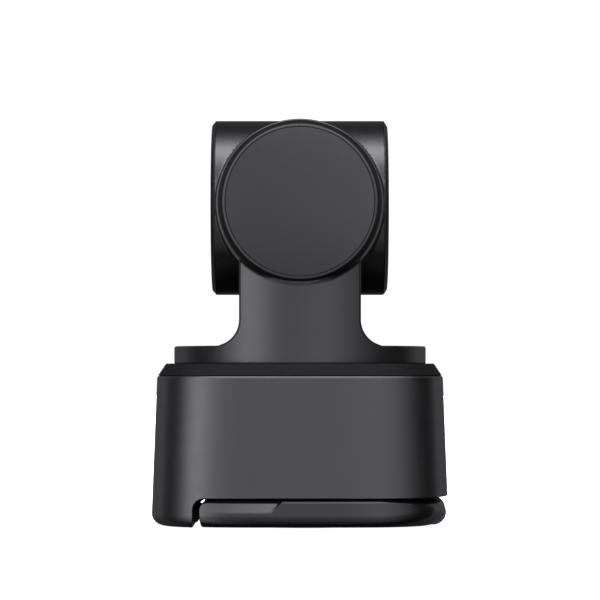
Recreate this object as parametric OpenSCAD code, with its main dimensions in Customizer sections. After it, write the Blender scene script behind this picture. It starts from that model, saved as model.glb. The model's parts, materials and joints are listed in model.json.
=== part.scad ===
// Pan and tilt desk camera: rounded-square base, turntable with one-sided arm,
// cylindrical tilting head, and a clip leg folded under the base.
// Frame: +Z up, origin on the pan axis at the surface it stands on, lens towards -Y, arm on +X.

/* [Base] */
// Half width of the base at the bottom edge of its shell
base_a = 24.5; // [24.2:0.01:24.7]
// Half width of the base shell at its top edge
base_top_a = 23.72; // [23.5:0.01:23.9]
// Height of the bottom edge of the shell above the leg
base_z0 = 5.13; // [5:0.01:5.2]
// Height of the shell's top edge
base_z1 = 24.85; // [24.5:0.01:25]
// Height of the black top ring's upper face
ring_z1 = 26.84; // [26.7:0.01:26.9]
// Half width of the black top ring's upper face
ring_a = 22.27; // [22:0.01:22.5]
// Exponent of the rounded-square plan
plan_n = 3.8; // [3.4:0.1:4.2]
// Points round the rounded-square plan
plan_points = 88; // [64:8:96]
// Inner face of the fixed front lip
lip_y = -17.3; // [-17.4:0.1:-17.2]

/* [Turntable and arm] */
// Radius of the turntable and of the arm's outer face
flange_r = 21.08; // [21:0.01:21.2]
// Top of the turntable
flange_z1 = 29.76; // [29.6:0.01:29.9]
// Half width of the arm
arm_hw = 9.9; // [9.6:0.01:10]
// Fillet where the arm rises from the turntable
arm_fillet = 4.5; // [2.5:0.1:4.5]

/* [Head] */
// Height of the tilt axis
tilt_z = 52.95; // [52.9:0.01:53.2]
// Radius of the head barrel
head_r = 14.57; // [14.5:0.01:14.6]
// Half length of the head over its two rims
head_hl = 14.53; // [14.5:0.01:14.6]
// Radius of the round boss on the head's side
boss_r = 13.8; // [13.5:0.1:13.8]
// Outer radius of the tilt motor housing
housing_r = 13.26; // [13.1:0.01:13.3]

/* [Leg] */
// Half width of the clip leg
leg_a = 24.08; // [24:0.01:24.2]
// Top face of the leg
leg_z1 = 4.65; // [4.6:0.01:4.65]
// Tip of the leg
leg_tip_y = -16.3; // [-16.4:0.1:-16.2]
// Radius of the round rubber foot
foot_r = 15.3; // [14:0.1:15.5]
// Radius of the hinge pin
pin_r = 0.9; // [0.8:0.05:0.95]

/* [Mounting thread] */
// Minor radius of the quarter-inch tripod thread
thread_r = 2.55; // [2.5:0.01:2.6]

/* [Hidden] */
$fn = 72;
e = 0.01;
hz = 2.485;                 // leg hinge axis height
hy = leg_a - 2.165;         // leg hinge axis, rearward
run = 0.05;                 // radial running clearance

// ---- helpers ----
// Rounded-square plan: |x|^n + |y|^n = a^n
function plan(a, n = plan_n, m = plan_points) = [for (i = [0:m - 1]) let (t = 360 * i / m,
  r = a / pow(pow(abs(cos(t)), n) + pow(abs(sin(t)), n), 1 / n)) [r * cos(t), r * sin(t)]];
module slab(a, z, h = e) { translate([0, 0, z]) linear_extrude(h) polygon(plan(a)); }
// Loft through a list of [z, a]
module loft(s) { hull() for (q = s) slab(q[1], q[0] - (q == s[len(s) - 1] ? e : 0)); }
module cx(r, x0, x1, y = 0, z = 0) { translate([x0, y, z]) rotate([0, 90, 0]) cylinder(r = r, h = x1 - x0); }
module cy(r, y0, y1, x = 0, z = 0) { translate([x, y1, z]) rotate([90, 0, 0]) cylinder(r = r, h = y1 - y0); }
module cz(r, z0, z1, x = 0, y = 0) { translate([x, y, z0]) cylinder(r = r, h = z1 - z0); }
module bx(p, q) { translate(p) cube([q[0] - p[0], q[1] - p[1], q[2] - p[2]]); }
module tubex(r1, r0, x0, x1) { difference() { cx(r1, x0, x1); cx(r0, x0 - 1, x1 + 1); } }
module tubey(r1, r0, y0, y1) { difference() { cy(r1, y0, y1); cy(r0, y0 - 1, y1 + 1); } }
module tubez(r1, r0, z0, z1) { difference() { cz(r1, z0, z1); cz(r0, z0 - 1, z1 + 1); } }
// Revolved round X: profile points are [radius, x]
module revx(p) { rotate([0, 90, 0]) rotate_extrude() polygon(p); }
// Revolved round Y: profile points are [radius, y]
module revy(p) { rotate([-90, 0, 0]) rotate_extrude() polygon(p); }
module at_head() { translate([0, 0, tilt_z]) children(); }
module stadium_y(w, h, y0, y1, z) {
  hwid = (w - h) / 2;
  union() {
    bx([-hwid, y0, z - h / 2], [hwid, y1, z + h / 2]);
    for (s = [-1, 1]) cy(h / 2, y0, y1, s * hwid, z);
  }
}
boss_xy = 16.4;
corners = [[1, 1], [1, -1], [-1, 1], [-1, -1]];

// ---- base ----
module base_shell() {
  color([0.27, 0.27, 0.28]) difference() {
    union() {
      difference() {
        loft([[0.32, base_a - 1.62], [0.55, base_a - 0.98], [0.95, base_a - 0.42], [1.5, base_a - 0.04], [2.2, base_a + 0.08], [base_z0, base_a], [base_z1, base_top_a]]);
        loft([[base_z0, 22.3], [base_z1 + 1, 21.75]]);
        bx([-30, lip_y, -1], [30, 30, base_z0]);
        bx([-14, -22, 2], [14, -19.2, base_z0 + 1]);
      }
      // fillet where the lip meets the underside
      intersection() {
        difference() {
          bx([-22.6, lip_y - 0.5, base_z0 - 2], [22.6, lip_y + 2, base_z0]);
          cx(2, -24, 24, lip_y + 2, base_z0 - 2);
        }
        loft([[2, 24.2], [base_z0 + 0.5, 24.1]]);
      }
      // screw bosses in the corners
      intersection() {
        for (c = corners) cz(3, 7, 16, c[0] * boss_xy, c[1] * boss_xy);
        loft([[6, 22.6], [17, 22.3]]);
      }
    }
    for (c = corners) cz(0.85, 6, 13, c[0] * boss_xy, c[1] * boss_xy);
    stadium_y(9.2, 3.42, 20, 26, 11.6);
    bx([-4.05, -26, 15.35], [4.05, -20, 16.65]);
    for (s = [-1, 1]) cy(0.45, -26, -20, s * 7, 16);
  }
}
module base_top_ring() {
  color([0.1, 0.1, 0.105]) difference() {
    union() {
      loft([[base_z1, base_top_a], [ring_z1, ring_a]]);
      loft([[22.8, 21.5], [base_z1, 21.5]]);
    }
    loft([[22, 20.2], [base_z1, 20.2]]);
    cz(3.2, 20, 30);
    for (t = [30, 150, 270]) cz(0.75, 20, 26, 10.5 * cos(t), 10.5 * sin(t));
  }
}
module bottom_plate() {
  color([0.13, 0.13, 0.135]) difference() {
    loft([[5.4, 22.05], [7, 22.0]]);
    for (c = corners) {
      cz(0.95, 5, 8, c[0] * boss_xy, c[1] * boss_xy);
      cz(1.8, 5, 6.4, c[0] * boss_xy, c[1] * boss_xy);
    }
    for (s = [-1, 1]) bx([s * 9.5 - 2.1, 19.5, 5], [s * 9.5 + 2.1, 23, 8]);
  }
}
module lip_pad() {
  color([0.08, 0.08, 0.08]) bx([-14, lip_y, 0.9], [14, lip_y + 0.5, 3]);
}
module base_grip_pad() {
  color([0.08, 0.08, 0.08]) difference() {
    bx([-13, -12, 4.98], [13, 14, 5.4]);
    for (c = corners) translate([c[0] * 13, c[1] * 13 + 1, 4]) rotate(45) cube([2.4, 2.4, 4], center = true);
  }
}
module base_screws() {
  color([0.6, 0.6, 0.62]) for (c = corners) union() {
    difference() {
      cz(1.6, 5.5, 6.4, c[0] * boss_xy, c[1] * boss_xy);
      for (t = [0, 90]) translate([c[0] * boss_xy, c[1] * boss_xy, 5.6]) rotate(t) cube([1.7, 0.4, 0.6], center = true);
    }
    cz(0.85, 6.4, 11.5, c[0] * boss_xy, c[1] * boss_xy);
  }
}
module hinge_bracket() {
  color([0.5, 0.5, 0.52]) difference() {
    union() {
      bx([-12.8, 9, 7], [12.8, 20.6, 7.8]);
      for (s = [-1, 1]) {
        bx([s * 9.5 - 1.9, 19.65, hz], [s * 9.5 + 1.9, 21.15, 7.8]);
        cx(2.1, s * 9.5 - 1.9, s * 9.5 + 1.9, hy, hz);
      }
    }
    cx(pin_r, -20, 20, hy, hz);
    for (s = [-1, 1]) cz(1, 6, 9, s * 6, 13);
  }
}
module hinge_pin() {
  color([0.75, 0.75, 0.77]) cx(pin_r, -13.5, 13.5, hy, hz);
}
module usb_c_shell() {
  color([0.75, 0.75, 0.77]) difference() {
    stadium_y(8.94, 3.16, 16.6, 23.97, 11.6);
    stadium_y(8.34, 2.56, 17.6, 24.5, 11.6);
  }
}
module usb_c_tongue() {
  color([0.05, 0.05, 0.05]) bx([-3.3, 17.6, 11.25], [3.3, 22.6, 11.95]);
}
module main_board() {
  color([0.05, 0.25, 0.12]) difference() {
    slab(19.4, 9, 1);
    for (c = corners) cz(3.4, 8, 11, c[0] * boss_xy, c[1] * boss_xy);
  }
}
module board_chips() {
  color([0.1, 0.1, 0.1]) {
    bx([-12, -8, 10], [-2, 2, 11]);
    bx([1.5, -7, 10], [9.5, -1, 11]);
    bx([2, 2.5, 10], [7, 7.5, 10.8]);
    bx([-9, 6, 10], [-4, 10, 10.9]);
    bx([11, -3, 10], [14, 3, 11.2]);
    bx([-4.5, -15, 10], [3.5, -12, 10.9]);
    bx([-1.6, 2.2, 10], [1.2, 5.2, 10.9]);
  }
}
module heat_sink() {
  color([0.7, 0.7, 0.72]) union() {
    bx([-13, -9, 11], [-1, 3, 11.6]);
    for (i = [0:5]) bx([-13 + i * 2.24, -9, 11.6], [-12.2 + i * 2.24, 3, 12.9]);
  }
}
module status_light() {
  color([0.85, 0.9, 0.88]) bx([-4, -23.97, 15.4], [4, -20.95, 16.6]);
}
module light_board() {
  color([0.05, 0.25, 0.12]) bx([-11, -20.95, 13.4], [11, -20.15, 18.6]);
}
module microphones() {
  color([0.7, 0.7, 0.7]) for (s = [-1, 1]) difference() {
    bx([s * 7 - 1.35, -21.75, 14.8], [s * 7 + 1.35, -20.95, 17.2]);
    cy(0.25, -22, -21.3, s * 7, 16);
  }
}
module pan_motor_mount() {
  color([0.66, 0.66, 0.68]) difference() {
    union() { cz(12.5, 23.35, base_z1); cz(4.2, 15.2, base_z1); }
    cz(3.05, 15, 24.2);
    cz(2.4, 15, 26);
    for (t = [30, 150, 270]) cz(0.75, 20, 26, 10.5 * cos(t), 10.5 * sin(t));
  }
}
module pan_bearings() {
  color([0.8, 0.8, 0.82]) for (z = [15.4, 22]) difference() { cz(3.05, z, z + 2); cz(1.5 + run, z - 1, z + 3); }
}
// Outline of one tooth along +X, then turned to place
function tooth(a, rh, rt0, rt1, w, tw) = [for (q = [[rh, -w / 2], [rt0, -w / 2], [rt0, -tw / 2], [rt1, -tw / 2], [rt1, tw / 2], [rt0, tw / 2], [rt0, w / 2], [rh, w / 2]])
  [q[0] * cos(a) - q[1] * sin(a), q[0] * sin(a) + q[1] * cos(a)]];
module tooth_ring(n, r_hub0, r_hub1, r_tip0, r_tip1, w, tw, h) {
  difference() {
    linear_extrude(h) polygon([for (i = [0:n - 1]) for (q = tooth(i * 360 / n, r_hub1, r_tip0, r_tip1, w, tw)) q]);
    translate([0, 0, -1]) cylinder(r = r_hub0, h = h + 2);
  }
}
module coil_ring(n, r0, r1, w, cw, h, over) {
  for (i = [0:n - 1]) rotate(i * 360 / n) difference() {
    translate([r0, -cw / 2, -over]) cube([r1 - r0, cw, h + 2 * over]);
    translate([r0 - 1, -w / 2, 0]) cube([r1 - r0 + 2, w, h]);
  }
}
module magnet_ring(n, r0, t, w, h) {
  for (i = [0:n - 1]) rotate(i * 360 / n) translate([r0, -w / 2, 0]) cube([t, w, h]);
}
module pan_stator() { color([0.55, 0.56, 0.6]) translate([0, 0, 16.4]) tooth_ring(9, 4.2, 5.3, 7.8, 8.35, 1.4, 4.2, 4.6); }
module pan_coils() { color([0.72, 0.4, 0.2]) translate([0, 0, 16.4]) coil_ring(9, 5.6, 7.7, 1.4, 2.9, 4.6, 0.6); }
module motor_screws() {
  color([0.6, 0.6, 0.62]) for (t = [30, 150, 270]) union() {
    cz(1.3, 22.5, 23.35, 10.5 * cos(t), 10.5 * sin(t));
    cz(0.7, 23.35, 25.9, 10.5 * cos(t), 10.5 * sin(t));
  }
}

// ---- yoke: turntable and arm ----
module yoke_shell() {
  color([0.3, 0.3, 0.31]) difference() {
    union() {
      rotate_extrude() polygon([[0, 27], [flange_r - 0.25, 27], [flange_r, 27.25], [flange_r, flange_z1 - 0.3],
        [flange_r - 0.3, flange_z1], [0, flange_z1]]);
      intersection() {
        cz(flange_r, 28, 52);
        difference() {
          union() {
            bx([15.3, -arm_hw, 28], [24, arm_hw, 38.2]);
            bx([16.3, -arm_hw, 28], [24, arm_hw, 50]);
            bx([15.3, -arm_hw - arm_fillet, 28], [24, arm_hw + arm_fillet, flange_z1 + arm_fillet]);
          }
          for (s = [-1, 1]) cx(arm_fillet, 10, 30, s * (arm_hw + arm_fillet), flange_z1 + arm_fillet);
        }
      }
    }
    at_head() cx(housing_r, 10, 30);
    cz(1.5, 26, 29);
    // groove under the turntable for the flex, and its way up the arm
    bx([4.5, -3.3, 26], [18.3, 3.3, 28.3]);
    bx([17.2, -3.3, 27], [18.3, 3.3, 32]);
    bx([16, -6.8, 31.2], [19.6, 6.8, 37.4]);
    bx([17.2, -3.3, 37], [18.3, 3.3, 42]);
    bx([15, -8.6, 30.2], [16, 8.6, 38.3]);
    for (s = [-1, 1]) for (z = [31.8, 36.6]) cx(0.5, 15, 18.4, s * 7.75, z);
  }
}
module arm_inner_cover() {
  color([0.16, 0.16, 0.165]) difference() {
    bx([15.3, -8.5, 30.3], [16, 8.5, 38.15]);
    for (s = [-1, 1]) for (z = [31.8, 36.6]) { cx(0.55, 15, 17, s * 7.75, z); cx(0.8, 15, 15.65, s * 7.75, z); }
  }
}
module cover_screws() {
  color([0.6, 0.6, 0.62]) for (s = [-1, 1]) for (z = [31.8, 36.6]) union() {
    cx(0.72, 15.35, 15.65, s * 7.75, z);
    cx(0.5, 15.65, 18, s * 7.75, z);
  }
}
module tilt_housing() {
  color([0.07, 0.07, 0.075]) at_head() difference() {
    union() {
      difference() {
        revx([[2.6, 16.3], [housing_r, 16.3], [housing_r, 20.5], [12.53, 22], [12.14, 22.1], [12.14, 21.5], [11, 21.5], [11, 17.3], [2.6, 17.3]]);
        bx([17.2, -3.3, -14], [18.3, 3.3, -10]);
      }
      tubex(3.4, 2.6, 17, 20.3);
    }
  }
}
module side_cap() {
  color([0.27, 0.27, 0.28]) at_head() revx([[0, 21.5], [12.05, 21.5], [12.05, 22.05], [11.95, 22.2], [0, 22.2]]);
}
module pan_shaft() { color([0.8, 0.8, 0.82]) difference() { cz(1.5, 13.2, 29); cz(0.7, 13, 28.4); } }
module pan_rotor() {
  color([0.6, 0.6, 0.63]) difference() {
    cz(10.6, 13.6, 22);
    cz(9.6, 14.8, 23);
    cz(1.5, 13, 16);
    for (t = [0:60:300]) cz(1.6, 13, 16, 6 * cos(t), 6 * sin(t));
  }
}
module pan_magnets() { color([0.4, 0.4, 0.42]) translate([0, 0, 16.2]) magnet_ring(12, 8.9, 0.45, 3.6, 5); }
module tilt_stator() { color([0.55, 0.56, 0.6]) at_head() translate([17.95, 0, 0]) rotate([0, 90, 0]) tooth_ring(9, 3.4, 4.2, 7.25, 7.8, 1.3, 3.7, 2.1); }
module tilt_coils() { color([0.72, 0.4, 0.2]) at_head() translate([17.95, 0, 0]) rotate([0, 90, 0]) coil_ring(9, 4.7, 7.1, 1.3, 2.5, 2.1, 0.4); }
module tilt_bearings() { color([0.8, 0.8, 0.82]) at_head() for (x = [16.5, 18.6]) tubex(2.6, 1.5 + run, x, x + 1.5); }
module tilt_driver_board() { color([0.05, 0.25, 0.12]) bx([18.2, -6.5, 31.6], [19, 6.5, 37.2]); }
module yoke_flex() {
  color([0.75, 0.5, 0.15]) union() {
    bx([5, -3, 27.6], [17.85, 3, 27.85]);
    bx([17.6, -3, 27.6], [17.85, 3, 41.7]);
  }
}

// ---- head ----
module head_barrel() {
  color([0.24, 0.24, 0.25]) at_head() difference() {
    union() { cy(head_r, -13.85, 13.85); cx(boss_r, 0, 15.9); }
    cy(13.3, -15, 15);
    cx(10.5, 4, 14.7);
    cx(3, 14, 17);
    for (t = [90, 210, 330]) cx(0.55, 14, 15.5, 4.5 * cos(t), 4.5 * sin(t));
  }
}
module front_bezel() {
  color([0.08, 0.08, 0.085]) at_head() revy([[12.9, -head_hl], [13.77, -head_hl], [head_r, -13.85], [13.25, -13.85], [13.25, -12.4], [12.2, -12.4], [12.2, -13.5], [12.9, -13.5]]);
}
module front_glass() { color([0.1, 0.1, 0.12, 0.5]) at_head() cy(12.85, -14.35, -13.5); }
module face_mask() { color([0.03, 0.03, 0.03]) at_head() tubey(12.15, 6.2, -13.5, -13.05); }
module lens_trim_ring() { color([0.3, 0.3, 0.32]) at_head() revy([[5.4, -12], [5.4, -13], [5.7, -13.5], [6.15, -13.5], [6.15, -12]]); }
module focus_housing() {
  color([0.06, 0.06, 0.06]) at_head() difference() {
    bx([-7.2, -9, -7.2], [7.2, -2.2, 7.2]);
    cy(5.8, -10, -3.3);
    bx([-4.35, -4, -3.5], [4.35, -2, 3.5]);
  }
}
module image_sensor() { color([0.2, 0.25, 0.3]) at_head() bx([-4.2, -3, -3.3], [4.2, -2.2, 3.3]); }
module sensor_board() {
  color([0.05, 0.25, 0.12]) at_head() difference() {
    bx([-9, -2.2, -9], [9, -1.2, 9]);
    for (sx = [-1, 1]) for (sz = [-1, 1]) cy(0.55, -3, 0, sx * 5.5, sz * 8.1);
  }
}
module heat_spreader() {
  color([0.7, 0.7, 0.72]) at_head() difference() {
    intersection() { cy(13.3, -1.2, 1.5); bx([-7, -2, -14], [7, 2, 14]); }
    for (sx = [-1, 1]) for (sz = [-1, 1]) cy(0.5, -2, 0.5, sx * 5.5, sz * 8.1);
  }
}
module rear_cap() {
  color([0.08, 0.08, 0.085]) at_head() revy([[0, 13.2], [12.3, 13.2], [12.3, 12.4], [13.25, 12.4], [13.25, 13.85], [head_r, 13.85], [13.77, head_hl], [11, head_hl], [10.8, 14.3], [0, 14.3]]);
}
module tilt_shaft() { color([0.8, 0.8, 0.82]) at_head() cx(1.5, 12.6, 21.2); }
module tilt_rotor() { color([0.6, 0.6, 0.63]) at_head() revx([[1.5, 20.6], [9, 20.6], [9, 17.7], [9.8, 17.7], [9.8, 21.2], [1.5, 21.2]]); }
module tilt_magnets() { color([0.4, 0.4, 0.42]) at_head() translate([17.9, 0, 0]) rotate([0, 90, 0]) magnet_ring(12, 8.3, 0.45, 3.4, 2.4); }
module head_hub() {
  color([0.66, 0.66, 0.68]) at_head() difference() {
    union() { cx(6, 13.4, 14.7); cx(3, 14.7, 15.9); }
    cx(1.5, 13, 17);
    for (t = [90, 210, 330]) cx(0.6, 13, 15, 4.5 * cos(t), 4.5 * sin(t));
  }
}
module head_screws() {
  color([0.6, 0.6, 0.62]) at_head() {
    for (sx = [-1, 1]) for (sz = [-1, 1]) union() {
      cy(0.85, -2.8, -2.2, sx * 5.5, sz * 8.1);
      cy(0.5, -2.2, 0.4, sx * 5.5, sz * 8.1);
    }
    for (t = [90, 210, 330]) union() {
      cx(1.0, 12.9, 13.4, 4.5 * cos(t), 4.5 * sin(t));
      cx(0.55, 13.4, 15.4, 4.5 * cos(t), 4.5 * sin(t));
    }
  }
}

// ---- focusing lens ----
module lens_barrel() {
  color([0.12, 0.12, 0.12]) at_head() difference() {
    union() { cy(5.1, -12.6, -9); cy(4.6, -9.2, -4); }
    cy(4.4, -13, -10.6);
    cy(3.6, -11, -8);
    cy(3.2, -9, -6.5);
    cy(2.8, -7, -3);
  }
}
module lens_elements() {
  color([0.5, 0.6, 0.75, 0.5]) at_head() {
    intersection() { cy(4.4, -12.7, -10.6); translate([0, -4.5, 0]) sphere(r = 8); }
    cy(3.6, -9.4, -8.2);
    cy(2.8, -6, -4.6);
  }
}
module focus_coil() { color([0.72, 0.4, 0.2]) at_head() tubey(5.4, 4.6, -7.6, -5.4); }

// ---- leg ----
module leg_shell() {
  color([0.25, 0.25, 0.26]) difference() {
    intersection() {
      loft([[0.32, 22.2], [0.6, 22.95], [1.1, 23.6], [1.8, 24.0], [2.3, leg_a], [4.32, leg_a], [leg_z1, leg_a - 0.33]]);
      hull() {
        cx(2.165, -26, 26, hy, hz, $fn = 48);
        cx(1.5, -26, 26, leg_tip_y + 1.5, leg_z1 - 1.5, $fn = 48);
        cx(1.3, -26, 26, leg_tip_y + 1.3, 1.62, $fn = 48);
      }
    }
    // pocket for the cover
    intersection() { slab(21.5, 2, 3); bx([-22, -13.5, 1], [22, 17.8, 6]); }
    cz(foot_r + 0.1, 0, 0.82, 0, 0.6);
    cz(4, 0, 3);
    // knuckle slots
    for (s = [-1, 1]) bx([s * 9.5 - 2.15, 19.3, -1], [s * 9.5 + 2.15, 26, 6]);
    cx(pin_r + run, -13.8, 13.8, hy, hz);
    // thumb scoops
    for (s = [-1, 1]) translate([s * 23.2, -18, 4.4]) rotate([0, s * 38, 0]) translate([-2 + s * 2, 0, -2.2]) cube([4, 13.2, 4.4]);
    for (p = [[15, -9], [-15, -9], [15, 13.5], [-15, 13.5]]) cz(0.6, 1.2, 3, p[0], p[1]);
  }
}
module leg_cover() {
  color([0.13, 0.13, 0.135]) difference() {
    intersection() { slab(21.35, 3.2, 1.2); bx([-22, -13.35, 1], [22, 17.65, 6]); }
    cz(4.2, 2, 6);
    for (p = [[15, -9], [-15, -9], [15, 13.5], [-15, 13.5]]) { cz(0.7, 3, 5, p[0], p[1]); cz(1.35, 3.9, 5, p[0], p[1]); }
  }
}
module leg_grip_pad() {
  color([0.08, 0.08, 0.08]) difference() {
    bx([-12, -11, 4.4], [12, 14, 4.62]);
    cz(5, 4, 5);
  }
}
module round_foot_pad() { color([0.07, 0.07, 0.07]) difference() { cz(foot_r, 0, 0.82, 0, 0.6); cz(6, -1, 2); } }
module tripod_insert() {
  color([0.75, 0.6, 0.3]) difference() {
    union() { cz(4, 0.32, 4.2); cz(5.4, 2, 2.7); }
    cz(thread_r, 0, 3.8);
  }
}
module leg_screws() {
  color([0.6, 0.6, 0.62]) for (p = [[15, -9], [-15, -9], [15, 13.5], [-15, 13.5]]) union() {
    cz(1.25, 3.9, 4.35, p[0], p[1]);
    cz(0.6, 1.3, 3.9, p[0], p[1]);
  }
}

base_shell();
base_top_ring();
bottom_plate();
lip_pad();
base_grip_pad();
base_screws();
hinge_bracket();
hinge_pin();
usb_c_shell();
usb_c_tongue();
main_board();
board_chips();
heat_sink();
status_light();
light_board();
microphones();
pan_motor_mount();
pan_bearings();
pan_stator();
pan_coils();
motor_screws();
yoke_shell();
arm_inner_cover();
cover_screws();
tilt_housing();
side_cap();
pan_shaft();
pan_rotor();
pan_magnets();
tilt_stator();
tilt_coils();
tilt_bearings();
tilt_driver_board();
yoke_flex();
head_barrel();
front_bezel();
front_glass();
face_mask();
lens_trim_ring();
focus_housing();
image_sensor();
sensor_board();
heat_spreader();
rear_cap();
tilt_shaft();
tilt_rotor();
tilt_magnets();
head_hub();
head_screws();
lens_barrel();
lens_elements();
focus_coil();
leg_shell();
leg_cover();
leg_grip_pad();
round_foot_pad();
tripod_insert();
leg_screws();
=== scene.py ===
import bpy, bmesh, json, math
import numpy as np
from mathutils import Vector, Matrix


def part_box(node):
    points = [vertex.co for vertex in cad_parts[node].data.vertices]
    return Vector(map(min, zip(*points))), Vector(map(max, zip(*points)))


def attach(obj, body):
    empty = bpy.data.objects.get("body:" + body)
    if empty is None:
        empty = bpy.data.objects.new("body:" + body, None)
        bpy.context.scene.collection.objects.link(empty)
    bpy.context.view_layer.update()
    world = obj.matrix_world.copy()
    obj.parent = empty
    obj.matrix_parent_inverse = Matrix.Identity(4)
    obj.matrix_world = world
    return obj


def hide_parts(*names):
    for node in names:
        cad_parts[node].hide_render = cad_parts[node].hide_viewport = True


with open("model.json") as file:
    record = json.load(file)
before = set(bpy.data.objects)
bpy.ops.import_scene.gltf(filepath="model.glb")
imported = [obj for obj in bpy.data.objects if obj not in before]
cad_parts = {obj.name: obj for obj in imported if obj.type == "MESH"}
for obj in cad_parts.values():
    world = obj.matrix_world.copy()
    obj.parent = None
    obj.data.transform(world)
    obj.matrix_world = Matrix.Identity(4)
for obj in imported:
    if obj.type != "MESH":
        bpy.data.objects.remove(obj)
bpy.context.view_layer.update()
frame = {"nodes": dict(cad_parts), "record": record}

MM = 0.001
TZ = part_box("head_barrel")[0].z * 1000 + (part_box("head_barrel")[1].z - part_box("head_barrel")[0].z) * 500   # tilt axis height, mm
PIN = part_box("hinge_pin")
HY = (PIN[0].y + PIN[1].y) * 500; HZ = (PIN[0].z + PIN[1].z) * 500   # leg hinge, mm


# ------------------------------------------------------------------ meshes
def make(name, verts, faces, body, mat, replaces=(), normals=None, sharp=None):
    """A mesh piece from points in millimetres."""
    me = bpy.data.meshes.new(name)
    me.from_pydata([tuple(float(c) * MM for c in v) for v in verts], [], [tuple(int(i) for i in f) for f in faces])
    me.validate(clean_customdata=False)
    me.update()
    me.shade_smooth()
    if sharp is not None:
        bm = bmesh.new(); bm.from_mesh(me)
        bmesh.ops.recalc_face_normals(bm, faces=bm.faces)
        for e in bm.edges:
            if len(e.link_faces) == 2 and e.calc_face_angle(0) > math.radians(sharp):
                e.smooth = False
        bm.to_mesh(me); bm.free()
    if normals is not None:
        me.normals_split_custom_set_from_vertices([tuple(n) for n in normals])
    ob = bpy.data.objects.new(name, me)
    bpy.context.scene.collection.objects.link(ob)
    me.materials.append(mat)
    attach(ob, body)
    if replaces:
        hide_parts(*replaces)
    return ob


def rounded(profile, seg=5, closed=True):
    """Polyline [(r, t, radius)] with its corners rounded."""
    out = []
    n = len(profile)
    for i, p in enumerate(profile):
        r = p[2] if len(p) > 2 else 0
        if r <= 0 or (not closed and i in (0, n - 1)):
            out.append((p[0], p[1])); continue
        a = np.array(profile[i - 1][:2], float); b = np.array(p[:2], float); c = np.array(profile[(i + 1) % n][:2], float)
        u = a - b; v = c - b; lu = np.linalg.norm(u); lv = np.linalg.norm(v); u /= lu; v /= lv
        ang = math.acos(max(-1, min(1, float(u @ v))))
        t = r / math.tan(ang / 2); t = min(t, lu * 0.49, lv * 0.49); rr = t * math.tan(ang / 2)
        cen = b + (u + v) / np.linalg.norm(u + v) * (rr / math.sin(ang / 2))
        p0 = b + u * t; p1 = b + v * t
        a0 = math.atan2(*(p0 - cen)[::-1]); a1 = math.atan2(*(p1 - cen)[::-1]); d = (a1 - a0 + math.pi) % (2 * math.pi) - math.pi
        k = max(2, int(seg * abs(d) / 1.57) + 1)
        for j in range(k + 1):
            q = a0 + d * j / k
            out.append((cen[0] + rr * math.cos(q), cen[1] + rr * math.sin(q)))
    return out


def lathe(profile, axis, centre=(0, 0, 0), n=160, arc=None):
    """Revolves a closed profile [(r, t)] round an axis. Points at r = 0 become poles."""
    V = []; F = []; rows = []
    for r, t in profile:
        if r < 1e-6:
            V.append((0, 0, t)); rows.append([len(V) - 1] * n)
        else:
            base = len(V)
            for i in range(n):
                a = 2 * math.pi * i / n
                V.append((r * math.cos(a), r * math.sin(a), t))
            rows.append(list(range(base, base + n)))
    m = len(rows)
    for k in range(m):
        a, b = rows[k], rows[(k + 1) % m]
        if profile[k][0] < 1e-6 and profile[(k + 1) % m][0] < 1e-6:
            continue
        for i in range(n):
            j = (i + 1) % n
            q = [a[i], a[j], b[j], b[i]]
            q = [x for ix, x in enumerate(q) if x not in q[:ix]]
            if len(q) > 2: F.append(q)
    V = np.array(V, float)
    if axis == "X": V = V[:, [2, 0, 1]]
    elif axis == "Y": V = V[:, [1, 2, 0]]
    return V + np.array(centre, float), F


def plan_ring(a, n=192, e=3.8):
    t = np.linspace(0, 2 * math.pi, n, endpoint=False)
    r = a / (np.abs(np.cos(t)) ** e + np.abs(np.sin(t)) ** e) ** (1 / e)
    return np.stack([r * np.cos(t), r * np.sin(t)], 1)


def plan_loft(profile, n=240):
    """Rounded-square rings from a closed profile [(a, z)]; a = 0 closes to a point."""
    V = []; F = []; rows = []
    for a, z in profile:
        base = len(V)
        if a < 1e-6:
            V.append((0, 0, z)); rows.append([base] * n)
        else:
            V += [(x, y, z) for x, y in plan_ring(a, n)]; rows.append(list(range(base, base + n)))
    m = len(rows)
    for k in range(m):
        a, b = rows[k], rows[(k + 1) % m]
        for i in range(n):
            j = (i + 1) % n
            q = [a[i], a[j], b[j], b[i]]; q = [x for ix, x in enumerate(q) if x not in q[:ix]]
            if len(q) > 2: F.append(q)
    return np.array(V, float), F


# ---- solids from distance functions, meshed on a graded grid
def seg(*parts):
    """seg(a, step, b, step, c ...) -> graded coordinates"""
    out = [parts[0]]
    for k in range(1, len(parts) - 1, 2):
        a, s, b = parts[k - 1], parts[k], parts[k + 1]
        m = max(1, int(round((b - a) / s)))
        out += list(a + (b - a) * np.arange(1, m + 1) / m)
    return np.array(out, float)


def sym(*parts):
    h = seg(*parts)
    return np.concatenate([-h[::-1], h[1:]]) if h[0] == 0 else np.concatenate([-h[::-1], h])


def rmax(a, b, r):
    u = np.maximum(r + a, 0); v = np.maximum(r + b, 0)
    return np.minimum(-r, np.maximum(a, b)) + np.sqrt(u * u + v * v)


def rmin(a, b, r):
    u = np.maximum(r - a, 0); v = np.maximum(r - b, 0)
    return np.maximum(r, np.minimum(a, b)) - np.sqrt(u * u + v * v)


def sstep(a, b, x):
    t = np.clip((x - a) / (b - a), 0, 1)
    return t * t * (3 - 2 * t)


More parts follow.
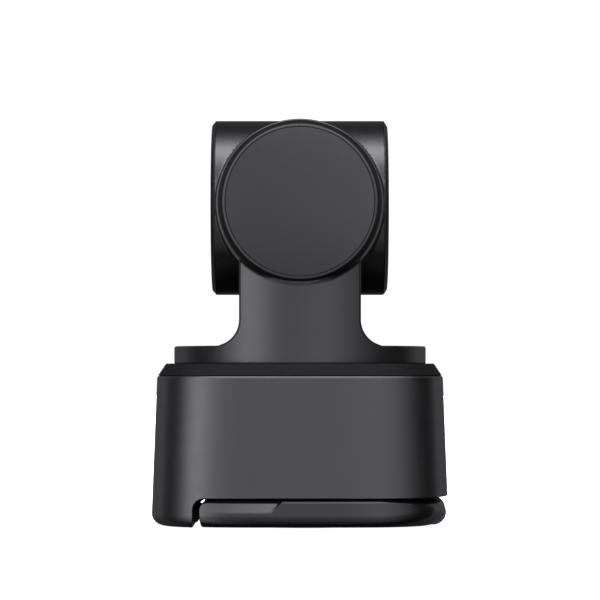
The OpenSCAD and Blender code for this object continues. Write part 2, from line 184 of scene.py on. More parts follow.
def nets(f, xs, ys, zs, iters=5):
    """Surface nets of f = 0, its points then moved onto the surface; returns points, quads, normals."""
    X, Y, Z = np.meshgrid(xs, ys, zs, indexing="ij")
    S = f(X, Y, Z)
    ins = S < 0
    nx, ny, nz = S.shape
    G = np.stack([X, Y, Z], -1)
    acc = np.zeros((nx - 1, ny - 1, nz - 1, 3)); cnt = np.zeros((nx - 1, ny - 1, nz - 1))
    edges = []
    for ax in range(3):
        lo = [slice(None)] * 3; hi = [slice(None)] * 3
        lo[ax] = slice(0, -1); hi[ax] = slice(1, None)
        a, b = S[tuple(lo)], S[tuple(hi)]
        cross = (a < 0) != (b < 0)
        t = np.where(cross, a / np.where(cross, a - b, 1), 0)
        P = G[tuple(lo)] * (1 - t[..., None]) + G[tuple(hi)] * t[..., None]
        idx = np.argwhere(cross)
        edges.append((ax, idx, ins[tuple(lo)][cross]))
        o1, o2 = [k for k in range(3) if k != ax]
        Pc = P[cross]
        for d1 in (0, -1):
            for d2 in (0, -1):
                c = idx.copy(); c[:, o1] += d1; c[:, o2] += d2
                ok = (c >= 0).all(1) & (c[:, 0] < nx - 1) & (c[:, 1] < ny - 1) & (c[:, 2] < nz - 1)
                cc = c[ok]
                np.add.at(acc, (cc[:, 0], cc[:, 1], cc[:, 2]), Pc[ok]); np.add.at(cnt, (cc[:, 0], cc[:, 1], cc[:, 2]), 1)
    used = cnt > 0
    ids = -np.ones(cnt.shape, int); ids[used] = np.arange(used.sum())
    V = acc[used] / cnt[used][:, None]
    cell = np.argwhere(used)
    lo = np.stack([xs[cell[:, 0]], ys[cell[:, 1]], zs[cell[:, 2]]], 1)
    hi = np.stack([xs[cell[:, 0] + 1], ys[cell[:, 1] + 1], zs[cell[:, 2] + 1]], 1)
    F = []
    for ax, idx, inside in edges:
        o1, o2 = [k for k in range(3) if k != ax]
        q = []
        for d1, d2 in ((-1, -1), (0, -1), (0, 0), (-1, 0)):
            c = idx.copy(); c[:, o1] += d1; c[:, o2] += d2
            q.append(ids[c[:, 0], c[:, 1], c[:, 2]])
        q = np.stack(q, 1)
        flip = inside if ax != 1 else ~inside
        q[~flip] = q[~flip][:, ::-1]
        F.append(q)
    F = np.concatenate(F)

    def grad(P, h=0.01):
        g = np.zeros_like(P)
        for k in range(3):
            d = np.zeros(3); d[k] = h
            A = P + d; B = P - d
            g[:, k] = (f(A[:, 0], A[:, 1], A[:, 2]) - f(B[:, 0], B[:, 1], B[:, 2])) / (2 * h)
        return g
    slack = (hi - lo) * 0.35
    for _ in range(iters):
        v = f(V[:, 0], V[:, 1], V[:, 2]); g = grad(V); g2 = np.maximum((g * g).sum(1), 0.05)
        V = V - (v / g2)[:, None] * g
        V = np.minimum(np.maximum(V, lo - slack), hi + slack)
    g = grad(V, 0.02)
    N = g / np.maximum(np.linalg.norm(g, axis=1), 1e-9)[:, None]
    return V, F, N


def sdf_piece(name, f, xs, ys, zs, body, mat, replaces=()):
    V, F, N = nets(f, xs, ys, zs)
    ob = make(name, V, F, body, mat, replaces, normals=N)
    print("piece", name, len(V), "points", len(F), "quads")
    return ob


# ------------------------------------------------------------------ materials
def new_mat(name):
    m = bpy.data.materials.new(name); m.use_nodes = True
    nt = m.node_tree; b = nt.nodes["Principled BSDF"]
    return m, nt, b


def noise(nt, scale, detail=3, rough=0.5, vec=None):
    n = nt.nodes.new("ShaderNodeTexNoise"); n.inputs["Scale"].default_value = scale
    n.inputs["Detail"].default_value = detail; n.inputs["Roughness"].default_value = rough
    nt.links.new(vec, n.inputs["Vector"])
    return n


def remap(nt, src, lo, hi, a=0.3, b=0.7):
    m = nt.nodes.new("ShaderNodeMapRange"); m.inputs["From Min"].default_value = a; m.inputs["From Max"].default_value = b
    m.inputs["To Min"].default_value = lo; m.inputs["To Max"].default_value = hi
    nt.links.new(src, m.inputs["Value"])
    return m.outputs["Result"]


def plastic(name, col, rough, var=0.03, grain=0.012, grain_scale=9000, spec=0.5, metal=0.0, colvar=0.12, scratch=0.0, coat=0.0):
    """Moulded plastic or plain metal: fine grain in the bump, soft blotches in colour and roughness."""
    m, nt, b = new_mat(name)
    tc = nt.nodes.new("ShaderNodeTexCoord"); vec = tc.outputs["Object"]
    big = noise(nt, 90, 4, 0.55, vec); fine = noise(nt, grain_scale, 2, 0.6, vec); mid = noise(nt, 700, 3, 0.5, vec)
    mix = nt.nodes.new("ShaderNodeMix"); mix.data_type = "RGBA"
    lo = [c * (1 - colvar) for c in col]; hi = [c * (1 + colvar) for c in col]
    mix.inputs["A"].default_value = (*lo, 1); mix.inputs["B"].default_value = (*hi, 1)
    nt.links.new(remap(nt, big.outputs["Fac"], 0, 1), mix.inputs["Factor"])
    nt.links.new(mix.outputs["Result"], b.inputs["Base Color"])
    r1 = remap(nt, mid.outputs["Fac"], rough - var, rough + var)
    nt.links.new(r1, b.inputs["Roughness"])
    b.inputs["Metallic"].default_value = metal
    b.inputs["Specular IOR Level"].default_value = spec
    if coat: b.inputs["Coat Weight"].default_value = coat
    bump = nt.nodes.new("ShaderNodeBump"); bump.inputs["Strength"].default_value = 0.35; bump.inputs["Distance"].default_value = grain * MM
    h = fine.outputs["Fac"]
    if scratch:
        mp = nt.nodes.new("ShaderNodeMapping"); mp.inputs["Scale"].default_value = (40, 3000, 40) ; nt.links.new(vec, mp.inputs["Vector"])
        br = noise(nt, 1.0, 2, 0.5, mp.outputs["Vector"]); add = nt.nodes.new("ShaderNodeMath"); add.operation = "MULTIPLY_ADD"
        nt.links.new(br.outputs["Fac"], add.inputs[0]); add.inputs[1].default_value = scratch; nt.links.new(h, add.inputs[2]); h = add.outputs[0]
    nt.links.new(h, bump.inputs["Height"]); nt.links.new(bump.outputs["Normal"], b.inputs["Normal"])
    return m


M = {}
M["shell"] = plastic("shell_plastic", (0.0050, 0.0050, 0.0054), 0.33, 0.02, 0.008, 8000, spec=0.60)
M["yoke"] = plastic("yoke_plastic", (0.0050, 0.0050, 0.0054), 0.32, 0.02, 0.008, 8000, spec=0.515)
M["legm"] = plastic("leg_plastic", (0.0045, 0.0044, 0.0050), 0.21, 0.02, 0.008, 8000, spec=0.48)
M["cap"] = plastic("cap_plastic", (0.0055, 0.0054, 0.0059), 0.22, 0.02, 0.010, 8000, spec=0.5)
M["trim"] = plastic("trim_black", (0.0035, 0.0035, 0.0039), 0.36, 0.03, 0.006, 9000, spec=0.40)
M["ring"] = plastic("ring_matt_black", (0.0045, 0.0045, 0.0047), 0.60, 0.03, 0.016, 7000, spec=0.06)
M["head"] = plastic("head_plastic", (0.0028, 0.0028, 0.0032), 0.29, 0.02, 0.007, 8000, spec=0.52)
M["oxide"] = plastic("blackened_steel", (0.045, 0.045, 0.05), 0.38, 0.06, 0.012, 3000, metal=1.0, scratch=0.8)
M["rubber"] = plastic("silicone_rubber", (0.010, 0.010, 0.010), 0.68, 0.06, 0.03, 5000, spec=0.35, colvar=0.25)
M["black_part"] = plastic("black_moulding", (0.008, 0.008, 0.008), 0.45, 0.05, 0.012, 6000)
M["steel"] = plastic("machined_steel", (0.50, 0.50, 0.52), 0.28, 0.08, 0.010, 3000, metal=1.0, scratch=0.6)
M["lamination"] = plastic("lamination_steel", (0.24, 0.25, 0.28), 0.42, 0.08, 0.020, 2500, metal=1.0, scratch=1.2)
M["magnet"] = plastic("magnet_nickel", (0.40, 0.39, 0.37), 0.30, 0.06, 0.008, 4000, metal=1.0)
M["alu"] = plastic("bare_aluminium", (0.62, 0.63, 0.65), 0.34, 0.08, 0.015, 2500, metal=1.0, scratch=0.8)
M["brass"] = plastic("turned_brass", (0.60, 0.42, 0.17), 0.26, 0.08, 0.010, 3000, metal=1.0, scratch=0.8)
M["chip"] = plastic("chip_epoxy", (0.012, 0.012, 0.013), 0.55, 0.06, 0.02, 5000)
M["flex"] = plastic("polyimide_flex", (0.42, 0.17, 0.02), 0.30, 0.05, 0.006, 3000, coat=0.3)
M["sensor"] = plastic("sensor_cover", (0.02, 0.04, 0.05), 0.08, 0.02, 0.002, 3000, coat=0.6)


def rim():
    """Matt black bevel with a satin lip at its inner edge, told apart by the distance from the tilt axis."""
    m = plastic("rim_matt_black", (0.0040, 0.0040, 0.0042), 0.46, 0.03, 0.012, 7000, spec=0.14)
    nt = m.node_tree; b = nt.nodes["Principled BSDF"]
    tc = nt.nodes.new("ShaderNodeTexCoord"); sp = nt.nodes.new("ShaderNodeSeparateXYZ"); nt.links.new(tc.outputs["Object"], sp.inputs[0])

    def op(kind, a, c=None):
        n = nt.nodes.new("ShaderNodeMath"); n.operation = kind
        for k, v in enumerate((a, c)):
            if v is None: continue
            if isinstance(v, (int, float)): n.inputs[k].default_value = v
            else: nt.links.new(v, n.inputs[k])
        return n.outputs[0]

    yy = sp.outputs["Y"]; dz = op("SUBTRACT", sp.outputs["Z"], TZ * MM)
    rad = op("SQRT", op("ADD", op("MULTIPLY", yy, yy), op("MULTIPLY", dz, dz)))
    lip = op("LESS_THAN", rad, 12.52 * MM)
    nt.links.new(op("ADD", op("MULTIPLY", lip, 0.38), 0.14), b.inputs["Specular IOR Level"])
    return m


def copper():
    m, nt, b = new_mat("enamelled_copper")
    tc = nt.nodes.new("ShaderNodeTexCoord")
    w = nt.nodes.new("ShaderNodeTexWave"); w.wave_type = "BANDS"; w.bands_direction = "Z"; w.inputs["Scale"].default_value = 1600
    w.inputs["Distortion"].default_value = 0.6; nt.links.new(tc.outputs["Object"], w.inputs["Vector"])
    mix = nt.nodes.new("ShaderNodeMix"); mix.data_type = "RGBA"; mix.inputs["A"].default_value = (0.30, 0.09, 0.025, 1); mix.inputs["B"].default_value = (0.72, 0.28, 0.09, 1)
    nt.links.new(w.outputs["Fac"], mix.inputs["Factor"]); nt.links.new(mix.outputs["Result"], b.inputs["Base Color"])
    b.inputs["Metallic"].default_value = 0.9; b.inputs["Roughness"].default_value = 0.3
    bp = nt.nodes.new("ShaderNodeBump"); bp.inputs["Strength"].default_value = 0.6; bp.inputs["Distance"].default_value = 0.00006
    nt.links.new(w.outputs["Fac"], bp.inputs["Height"]); nt.links.new(bp.outputs["Normal"], b.inputs["Normal"])
    return m


def pcb():
    m, nt, b = new_mat("solder_mask")
    tc = nt.nodes.new("ShaderNodeTexCoord")
    v = nt.nodes.new("ShaderNodeTexVoronoi"); v.distance = "MANHATTAN"; v.feature = "F1"; v.inputs["Scale"].default_value = 900
    nt.links.new(tc.outputs["Object"], v.inputs["Vector"])
    n = noise(nt, 400, 3, 0.5, tc.outputs["Object"])
    mix = nt.nodes.new("ShaderNodeMix"); mix.data_type = "RGBA"; mix.inputs["A"].default_value = (0.004, 0.045, 0.022, 1); mix.inputs["B"].default_value = (0.012, 0.10, 0.05, 1)
    nt.links.new(remap(nt, v.outputs["Distance"], 0, 1, 0.2, 0.5), mix.inputs["Factor"]); nt.links.new(mix.outputs["Result"], b.inputs["Base Color"])
    nt.links.new(remap(nt, n.outputs["Fac"], 0.25, 0.4), b.inputs["Roughness"])
    bp = nt.nodes.new("ShaderNodeBump"); bp.inputs["Strength"].default_value = 0.3; bp.inputs["Distance"].default_value = 0.00002
    nt.links.new(v.outputs["Distance"], bp.inputs["Height"]); nt.links.new(bp.outputs["Normal"], b.inputs["Normal"])
    return m


def glass(name, col, rough=0.02, alpha=None, ior=1.5, trans=1.0, coat_tint=None):
    m, nt, b = new_mat(name)
    tc = nt.nodes.new("ShaderNodeTexCoord"); n = noise(nt, 250, 3, 0.5, tc.outputs["Object"])
    mix = nt.nodes.new("ShaderNodeMix"); mix.data_type = "RGBA"; mix.inputs["A"].default_value = (*[c * 0.92 for c in col], 1); mix.inputs["B"].default_value = (*col, 1)
    nt.links.new(remap(nt, n.outputs["Fac"], 0, 1), mix.inputs["Factor"]); nt.links.new(mix.outputs["Result"], b.inputs["Base Color"])
    nt.links.new(remap(nt, n.outputs["Fac"], rough, rough + 0.03), b.inputs["Roughness"])
    b.inputs["Transmission Weight"].default_value = trans; b.inputs["IOR"].default_value = ior
    if alpha is not None: b.inputs["Alpha"].default_value = alpha
    return m


M["rim"] = rim(); M["copper"] = copper(); M["pcb"] = pcb()
M["glass"] = glass("front_glass", (0.9, 0.92, 0.95))
M["lens"] = glass("coated_lens", (0.72, 0.66, 0.92), 0.0, ior=1.6)
M["light"] = glass("light_pipe", (0.16, 0.17, 0.17), 0.32, trans=0.3)
M["mask"] = plastic("printed_mask", (0.002, 0.002, 0.0022), 0.22, 0.02, 0.003, 5000)

# ------------------------------------------------------------------ base
NEXP = 3.8


def se(x, y):
    ax, ay = np.abs(x), np.abs(y)
    s = (ax ** NEXP + ay ** NEXP + 1e-12) ** (1 / NEXP)
    g = np.sqrt(ax ** (2 * NEXP - 2) + ay ** (2 * NEXP - 2) + 1e-12) / (s ** (NEXP - 1) + 1e-9)
    return s, np.maximum(g, 0.8)


Z0, Z1 = 5.08, 24.85
BA, BT = 24.50, 23.72
LIP = -17.33


def a_base(z):
    return BA - (np.clip(z, 2.3, 30) - Z0) * ((BA - BT) / (Z1 - Z0))


def f_base(x, y, z):
    s, g = se(x, y)
    ds = (s - a_base(z)) / g
    out = rmax(ds, z - Z1, 0.46)
    out = rmax(out, 0.32 - z, 1.8)
    c = rmax(-(y - LIP), z - Z0, 1.95 + 1.15 * sstep(22.5, 20.0, np.abs(x)))
    out = rmax(out, -c, 0.09)
    cav = (s - (a_base(z) - 2.1)) / g
    cav = np.minimum(np.maximum(cav, 7.2 - z), np.maximum(np.maximum(cav, -(y + 14.8)), z - 8))
    for sx in (-1, 1):
        for sy in (-1, 1):
            b = np.hypot(x - sx * 16.4, y - sy * 16.4) - 3.12
            cav = np.maximum(cav, -np.maximum(np.maximum(b, 7.0 - z), z - 16))
    out = np.maximum(out, -cav)
    qx = np.abs(x) - 2.89
    port = np.hypot(np.maximum(qx, 0), z - 11.6) - 1.71
    out = rmax(out, -np.maximum(port, 20 - y), 0.15)
    win = rmax(np.abs(x) - 4.06, np.abs(z - 16) - 0.66, 0.3)
    out = np.maximum(out, -np.maximum(win, y + 20))
    mic = np.hypot(np.abs(x) - 7, z - 16) - 0.45
    return np.maximum(out, -np.maximum(mic, y + 20))


xs = sym(0, 0.45, 2.6, 0.22, 5.0, 0.5, 6.3, 0.15, 7.7, 0.55, 20.8, 0.3, 21.9, 0.13, 23.1, 0.3, 24.85)
ys = np.concatenate([seg(-24.9, 0.3, -22, 0.5, -18.2, 0.13, -15.0, 0.35, -14.5), seg(-14.5, 0.6, 21.5, 0.35, 24.85)[1:]])
zs = seg(0.1, 0.13, 1.0, 0.28, 3.0, 0.2, 4.85, 0.07, 5.45, 0.5, 7.0, 0.25, 7.6, 0.7, 9.7, 0.22, 13.5, 0.4, 15.1, 0.13, 16.9, 0.9, 24.1, 0.1, 25.0)
sdf_piece("base_shell_v", f_base, xs, ys, zs, "base", M["shell"], ("base_shell",))

# closed ring: inner hole for the shaft bearing sits at the middle
prof = rounded([(3.4, 24.86, 0.0), (20.1, 24.86, 0), (20.1, 22.8, 0.1), (21.5, 22.8, 0.2), (21.5, 24.86, 0), (23.58, 24.86, 0.05), (22.27, 26.84, 0.12), (3.4, 26.84, 0.0)], 4)
V, F = plan_loft(prof)
make("base_top_ring_v", V, F, "base", M["ring"], ("base_top_ring",), sharp=28)

# ------------------------------------------------------------------ leg
LA, LZ, LT = 24.10, 4.78, -16.3
SC_END, SC_Z = -4.3, 2.66


def f_leg(x, y, z):
    s, g = se(x, y)
    ds = (s - LA) / g
    dt = z - LZ; db = 0.32 - z
    tip = LT - y + 0.2 * np.clip(2.2 - z, 0, 2)
    # thumb scoop on each side: leans back from the wall, with a slanting end
    al = math.radians(16)
    f1 = ds * math.cos(al) + (z - SC_Z) * math.sin(al)
    end = ((y - SC_END) - (z - 3.1) * 0.91) * 0.74
    cut = rmax(-f1, rmax(end, SC_Z - 0.02 - z, 0.35), 0.25)
    # the chamfer follows the wall and the scoop
    D = np.where(end < 0.0, np.maximum(ds, f1), ds)
    ch = math.radians(22)
    cham = D * math.cos(ch) + (z - 4.38) * math.sin(ch)
    body = rmax(ds, db, 2.0 + 0.8 * sstep(13.0, 21.5, y))
    body = rmax(body, cham, 0.045)
    rt = 0.05 + 1.75 * sstep(11.5, 21.5, y)
    body = rmax(body, dt, rt)
    prof = rmax(rmax(tip, dt, 1.82), db, 0.5)
    body = rmax(body, prof, 0.16)
    body = rmax(body, -cut, 0.06)
    # pocket under the cover
    pk = np.maximum(np.maximum((s - 21.5) / g, np.maximum(-13.5 - y, y - 17.8)), 2.0 - z)
    body = np.maximum(body, -pk)
    body = np.maximum(body, -np.maximum(np.hypot(x, y - 0.6) - 15.4, z - 0.82))
    body = np.maximum(body, -np.maximum(np.hypot(x, y) - 4.0, z - 3))
    slot = rmax(np.abs(np.abs(x) - 9.5) - 2.15, 19.3 - y, 0.3)
    body = rmax(body, -slot, 0.15)
    bore = np.hypot(y - HY, z - HZ) - 0.95
    return np.maximum(body, -np.maximum(bore, np.abs(x) - 13.8))


xs = sym(0, 0.6, 3.6, 0.3, 4.4, 0.6, 7.0, 0.2, 7.7, 0.6, 11.3, 0.2, 12.0, 0.7, 20.2, 0.2, 22.0, 0.12, 24.3)
ys = np.concatenate([seg(-16.5, 0.13, -14.3, 0.25, -13.2, 0.6, -8.0, 0.22, -3.4, 0.6, 17.4, 0.3, 19.0), seg(19.0, 0.2, 24.3)[1:]])
zs = seg(0.1, 0.14, 1.0, 0.2, 1.8, 0.14, 2.4, 0.09, 3.0, 0.2, 4.1, 0.075, 4.85)
sdf_piece("leg_shell_v", f_leg, xs, ys, zs, "leg", M["legm"], ("leg_shell",))

V, F = lathe(rounded([(6.0, 0.0, 0.12), (15.3, 0.0, 0.06), (15.3, 0.82, 0.05), (6.0, 0.82, 0.05)], 4), "Z", (0, 0.6, 0), 180)
make("round_foot_pad_v", V, F, "leg", M["rubber"], ("round_foot_pad",), sharp=28)

# ------------------------------------------------------------------ yoke
FR, FT = 21.08, 29.76


def f_yoke(x, y, z):
    dr = np.hypot(x, y) - FR
    x0 = 15.3 + sstep(37.7, 38.5, z)
    arm = rmax(np.abs(y) - 9.90, x0 - x, 0.5)
    rf = 0.5 + 3.7 * sstep(15.0, 16.3, x)
    s = rmin(z - FT, arm, rf)
    body = rmax(dr, s, 0.34)
    body = rmax(body, 26.88 - z, 0.08)
    body = np.maximum(body, z - 45.4)
    # small fillet where the arm runs up into the round housing
    rad = np.hypot(y, z - TZ)
    cone = np.maximum(np.maximum((rad - 13.24) * 0.88 + (x - 20.5) * 0.47, rad - 13.24), np.maximum(x - 20.9, 16.4 - x))
    body = np.where(z > 36, np.maximum(rmin(body, cone, 0.55), np.maximum(np.abs(y) - 9.90, z - 45.4)), body)
    body = np.maximum(body, -np.maximum(rad - 12.6, 10 - x))
    # flat recess for the inner cover, the pocket behind it and the flex groove
    rc = np.maximum(np.maximum(np.abs(y) - 8.6, np.maximum(30.2 - z, z - 38.3)), np.maximum(x - 16, 15 - x))
    pk = np.maximum(np.maximum(np.abs(y) - 6.8, np.maximum(31.2 - z, z - 37.4)), np.maximum(x - 19.4, 15.5 - x))
    gv = np.maximum(np.maximum(np.abs(y) - 3.3, z - 28.3), np.maximum(4.5 - x, x - 18.3))
    bore = np.maximum(np.hypot(x, y) - 1.6, z - 29)
    for c in (rc, pk, gv, bore):
        body = np.maximum(body, -c)
    return body


xs = np.concatenate([seg(-21.3, 0.2, -20.4, 0.6, -2.2, 0.4, 2.2, 0.6, 14.4, 0.22, 16.6, 0.35, 18.0, 0.14, 19.2, 0.3, 20.4), seg(20.4, 0.13, 21.7)[1:]])
ys = sym(0, 0.55, 6.6, 0.3, 7.0, 0.4, 8.4, 0.2, 9.3, 0.11, 10.1, 0.24, 13.4, 0.45, 20.2, 0.2, 21.3)
zs = seg(26.75, 0.1, 27.35, 0.45, 29.0, 0.12, 30.5, 0.22, 34.4, 0.4, 37.2, 0.2, 38.7, 0.22, 45.6)
sdf_piece("yoke_shell_v", f_yoke, xs, ys, zs, "yoke", M["yoke"], ("yoke_shell",))

HC = (0, 0, TZ)
prof = rounded([(2.6, 16.3, 0), (13.26, 16.3, 0.12), (13.26, 20.45, 0.15), (12.50, 22.0, 0.10), (12.14, 22.08, 0.03), (12.14, 21.42, 0.0), (11.0, 21.42, 0), (11.0, 17.3, 0), (3.4, 17.3, 0), (3.4, 20.3, 0.1), (2.6, 20.3, 0.1)], 5)
V, F = lathe(prof, "X", HC, 192)
make("tilt_housing_v", V, F, "yoke", M["rim"], ("tilt_housing",), sharp=28)
# cap with its bright bevel and the thin groove inside it
prof = rounded([(0, 21.45, 0), (11.98, 21.45, 0.05), (11.98, 22.12, 0.03), (0, 22.14, 0)], 4)
V, F = lathe(prof, "X", HC, 192)
make("side_cap_v", V, F, "yoke", M["cap"], ("side_cap",), sharp=28)

# ------------------------------------------------------------------ head
HR = 14.57


def f_head(x, y, z):
    zz = z - TZ
    dc = np.hypot(x, zz) - HR
    db = rmax(np.hypot(y, zz) - 13.8, x - 15.9, 0.35)
    db = np.maximum(db, -x)
    body = rmin(dc, db, 0.35)
    body = rmax(body, np.maximum(y - 13.87, -y - 13.97), 0.03)
    body = np.maximum(body, -(np.hypot(x, zz) - 13.3))
    body = np.maximum(body, -np.maximum(np.hypot(y, zz) - 10.5, np.maximum(x - 14.7, 4 - x)))
    return np.maximum(body, -np.maximum(np.hypot(y, zz) - 3.0, 14 - x))


xs = seg(-14.8, 0.42, 12.8, 0.3, 15.3, 0.1, 16.0)
ys = sym(0, 0.55, 12.6, 0.28, 13.5, 0.1, 14.1)
zs = TZ + sym(0, 0.42, 14.8)
sdf_piece("head_barrel_v", f_head, xs, ys, zs, "head", M["head"], ("head_barrel",))

prof = rounded([(12.9, -14.66, 0.08), (13.83, -14.66, 0.16), (14.56, -14.03, 0.12), (14.56, -13.975, 0), (13.25, -13.975, 0), (13.25, -12.4, 0.1), (12.2, -12.4, 0.1), (12.2, -13.5, 0), (12.9, -13.5, 0)], 5)
V, F = lathe(prof, "Y", HC, 192)
make("front_bezel_v", V, F, "head", M["trim"], ("front_bezel",), sharp=28)
prof = rounded([(0, 13.2, 0), (12.3, 13.2, 0), (12.3, 12.4, 0.1), (13.25, 12.4, 0.1), (13.25, 13.87, 0), (14.56, 13.87, 0), (14.56, 13.98, 0.12), (13.72, 14.56, 0.25), (11.0, 14.56, 0.06), (10.85, 14.3, 0.06), (0, 14.3, 0)], 5)
V, F = lathe(prof, "Y", HC, 192)
make("rear_cap_v", V, F, "head", M["trim"], ("rear_cap",), sharp=28)
prof = rounded([(0, -14.36, 0), (12.84, -14.36, 0.12), (12.84, -13.52, 0.05), (0, -13.52, 0)], 4)
V, F = lathe(prof, "Y", HC, 160)
make("front_glass_v", V, F, "head", M["glass"], ("front_glass",), sharp=28)
# lens elements with true curved faces, and the stepped barrel that carries them
def cap_points(r, t0, sag, k=14):
    """Points from the axis out to radius r along a spherical cap of the given sag."""
    R = (r * r + sag * sag) / (2 * abs(sag)); sg = 1 if sag > 0 else -1
    return [(r * i / k, t0 - sg * (R - math.sqrt(max(R * R - (r * i / k) ** 2, 0)))) for i in range(k + 1)]


def lens(r, y0, y1, s0, s1):
    a = [(q[0], y0 + (y0 - q[1])) for q in cap_points(r, y0, s0)]
    b = [(q[0], q[1]) for q in cap_points(r, y1, s1)]
    return a + b[::-1]


LV = []; LF = []
for r, y0, y1, s0, s1 in ((4.35, -12.75, -11.1, 0.95, -0.5), (3.55, -9.4, -8.3, 0.4, 0.5), (2.75, -6.1, -4.6, 0.5, 0.3)):
    V, F = lathe(lens(r, y0, y1, s0, s1), "Y", HC, 96)
    LF += [[i + len(LV) for i in f] for f in F]; LV += list(V)
make("lens_elements_v", LV, LF, "lens_carrier", M["lens"], ("lens_elements",), sharp=28)
prof = rounded([(4.4, -12.6, 0.12), (5.1, -12.6, 0.15), (5.1, -9.05, 0.1), (4.6, -9.0, 0), (4.6, -4.0, 0.1), (2.8, -4.0, 0.05), (2.8, -6.9, 0), (3.2, -6.9, 0), (3.2, -8.1, 0), (3.6, -8.1, 0), (3.6, -10.2, 0), (3.9, -10.3, 0), (3.9, -10.7, 0), (4.4, -10.7, 0)], 4)
V, F = lathe(prof, "Y", HC, 128)
make("lens_barrel_v", V, F, "lens_carrier", M["black_part"], ("lens_barrel",), sharp=28)
prof = rounded([(5.4, -12.0, 0), (5.4, -12.9, 0.1), (5.75, -13.48, 0.1), (6.15, -13.5, 0.02), (6.15, -12.0, 0)], 4)
V, F = lathe(prof, "Y", HC, 128)
make("lens_trim_ring_v", V, F, "head", M["alu"], ("lens_trim_ring",), sharp=28)

# ------------------------------------------------------------------ the carried-over CAD nodes
SLOT = {}
for sp in frame["record"]["subparts"]:
    SLOT[sp["node"]] = sp["material_slot"]
FIN = {"shell": "shell", "trim": "trim", "rubber": "rubber", "steel": "steel", "lamination": "lamination", "magnet": "magnet", "copper": "copper",
       "pcb": "pcb", "black_part": "black_part", "alu": "alu", "glass": "glass", "sensor": "sensor", "light": "light", "brass": "brass", "flex": "flex"}
for n, o in frame["nodes"].items():
    key = FIN[SLOT[n]]
    if n == "board_chips": key = "chip"
    if n == "face_mask": key = "mask"
    if n in ("hinge_bracket", "cover_screws", "base_screws", "leg_screws"): key = "oxide"
    o.data.materials.clear(); o.data.materials.append(M[key])

# ------------------------------------------------------------------ stage, light, camera
def stage_floor():
    me = bpy.data.meshes.new("floor"); s = 3.0
    me.from_pydata([(-s, -s, 0), (s, -s, 0), (s, s, 0), (-s, s, 0)], [], [(0, 1, 2, 3)])
    ob = bpy.data.objects.new("floor", me); bpy.context.scene.collection.objects.link(ob)
    m, nt, b = new_mat("floor_pale"); b.inputs["Base Color"].default_value = (0.9, 0.9, 0.9, 1); b.inputs["Roughness"].default_value = 0.9
    b.inputs["Specular IOR Level"].default_value = 0.0
    b.inputs["Emission Color"].default_value = (1, 1, 1, 1); b.inputs["Emission Strength"].default_value = 1.0
    me.materials.append(m)
    ob.visible_glossy = False; ob.visible_diffuse = False; ob.visible_transmission = False
    return ob


stage_floor()

w = bpy.data.worlds.new("studio"); bpy.context.scene.world = w; w.use_nodes = True
nt = w.node_tree; nt.nodes.clear()
out = nt.nodes.new("ShaderNodeOutputWorld"); bg = nt.nodes.new("ShaderNodeBackground"); bgc = nt.nodes.new("ShaderNodeBackground")
lp = nt.nodes.new("ShaderNodeLightPath"); mx = nt.nodes.new("ShaderNodeMixShader")
bgc.inputs["Color"].default_value = (1, 1, 1, 1); bgc.inputs["Strength"].default_value = 1.05
nt.links.new(lp.outputs["Is Camera Ray"], mx.inputs[0]); nt.links.new(bg.outputs[0], mx.inputs[1]); nt.links.new(bgc.outputs[0], mx.inputs[2])
nt.links.new(mx.outputs[0], out.inputs["Surface"])
tc = nt.nodes.new("ShaderNodeTexCoord"); sp = nt.nodes.new("ShaderNodeSeparateXYZ"); nt.links.new(tc.outputs["Generated"], sp.inputs[0])


def mth(op, a, b=None, clamp=False):
    n = nt.nodes.new("ShaderNodeMath"); n.operation = op; n.use_clamp = clamp
    for k, v in enumerate((a, b)):
        if v is None: continue
        if isinstance(v, (int, float)): n.inputs[k].default_value = v
        else: nt.links.new(v, n.inputs[k])
    return n.outputs[0]


def curve(value, lo, hi, pts):
    """Piecewise-linear lookup through a float curve; pts are (x, y) in real units."""
    mr = nt.nodes.new("ShaderNodeMapRange"); mr.inputs["From Min"].default_value = lo; mr.inputs["From Max"].default_value = hi
    nt.links.new(value, mr.inputs["Value"])
    ramp = nt.nodes.new("ShaderNodeValToRGB"); ramp.color_ramp.interpolation = "EASE"
    el = ramp.color_ramp.elements
    top = max(p[1] for p in pts)
    while len(el) < len(pts): el.new(0.5)
    for e_, p in zip(el, pts):
        e_.position = (p[0] - lo) / (hi - lo); v = p[1] / top; e_.color = (v, v, v, 1)
    nt.links.new(mr.outputs["Result"], ramp.inputs[0])
    return mth("MULTIPLY", ramp.outputs["Color"], top)


DX, DY, DZ = sp.outputs["X"], sp.outputs["Y"], sp.outputs["Z"]
az = mth("MULTIPLY", mth("ARCTAN2", DY, DX), 57.2958)      # 0 towards +X, negative to the lens side
el = mth("MULTIPLY", mth("ARCSINE", DZ), 57.2958)
side = curve(az, -180, 180, [(-180, 0.13), (-150, 0.17), (-131, 0.40), (-112, 0.10), (-92, 0.10), (-76, 0.70), (-62, 3.0), (-48, 5.0), (-34, 3.1), (-21, 1.55), (-9, 1.30), (4, 1.55), (22, 2.1), (40, 1.5), (58, 0.75), (76, 0.15), (96, 0.02), (114, 0.08), (131, 0.42), (150, 0.17), (180, 0.13)])
low = curve(el, -90, 90, [(-90, 0.03), (-65, 0.12), (-45, 0.34), (-22, 0.44), (-8, 0.66), (-2, 0.92), (5, 0.97), (14, 0.92), (28, 0.75), (38, 0.55), (48, 0.50), (60, 0.3), (78, 0.0), (90, 0.0)])
key_e = curve(el, -90, 90, [(-90, 0.0), (17, 0.0), (24, 0.8), (29, 1.0), (34, 0.7), (40, 0.0), (90, 0.0)])
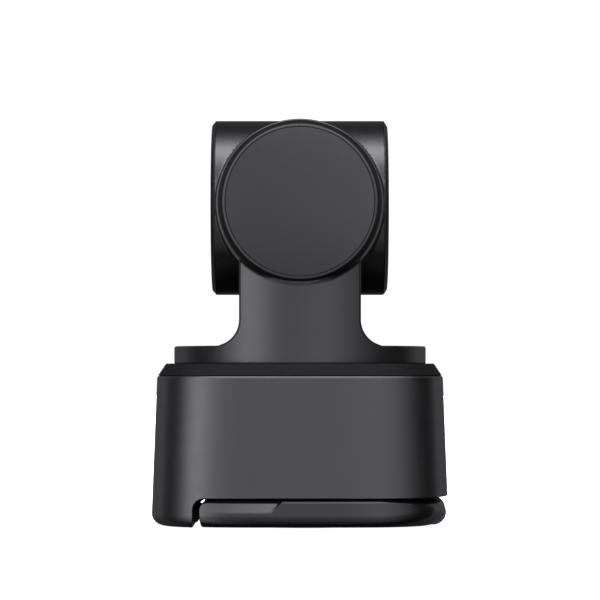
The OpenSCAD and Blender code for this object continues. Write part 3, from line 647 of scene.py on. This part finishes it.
key_a = curve(az, -180, 180, [(-180, 0.0), (-42, 0.0), (-24, 1.5), (-9, 3.2), (4, 4.2), (22, 4.0), (40, 1.5), (58, 0.0), (180, 0.0)])
beta = mth("MULTIPLY", mth("ARCTAN2", DZ, DX), 57.2958)    # 90 straight up, 180 level behind
over = curve(beta, -180, 180, [(-180, 0.0), (32, 0.0), (42, 0.3), (48, 1.0), (54, 1.9), (61, 3.7), (68, 5.8), (75, 7.6), (82, 7.0), (88, 4.2), (94, 1.5), (100, 0.25), (105, 0.0), (114, 0.0), (180, 0.0)])
wide = curve(DY, -1, 1, [(-1, 0.0), (-0.85, 0.03), (-0.55, 0.55), (-0.3, 0.9), (0.0, 1.0), (0.3, 0.9), (0.55, 0.55), (0.85, 0.03), (1, 0.0)])
total = mth("ADD", mth("ADD", mth("MULTIPLY", side, low), mth("MULTIPLY", over, wide)), mth("MULTIPLY", key_e, key_a))
nt.links.new(total, bg.inputs["Strength"]); bg.inputs["Color"].default_value = (0.99, 0.983, 1.04, 1)

# a faint overhead lamp so that the floor and the back of the object are lit as well
def area(name, loc, target, size, power, sizey=None):
    l = bpy.data.lights.new(name, "AREA"); l.energy = power; l.size = size
    if sizey: l.shape = "RECTANGLE"; l.size_y = sizey
    o = bpy.data.objects.new(name, l); bpy.context.scene.collection.objects.link(o)
    o.location = loc
    d = Vector(target) - Vector(loc); o.rotation_euler = d.to_track_quat("-Z", "Y").to_euler()
    return o


area("top_soft", (0.10, 0.0, 0.9), (0, 0, 0.03), 0.8, 1.2)

cam = bpy.data.cameras.new("camera"); co = bpy.data.objects.new("camera", cam); bpy.context.scene.collection.objects.link(co)
co.location = (0.550, 0, 0.02545); co.rotation_euler = (math.radians(90), 0, math.radians(90))
cam.sensor_width = 36; cam.sensor_fit = "HORIZONTAL"; cam.lens = 36 * 0.550 / (600 * 0.0001678)
cam.shift_y = 72 / 600.0
cam.clip_start = 0.01; cam.clip_end = 20
bpy.context.scene.camera = co
bpy.context.scene.view_settings.view_transform = "Standard"
bpy.context.scene.view_settings.look = "None"
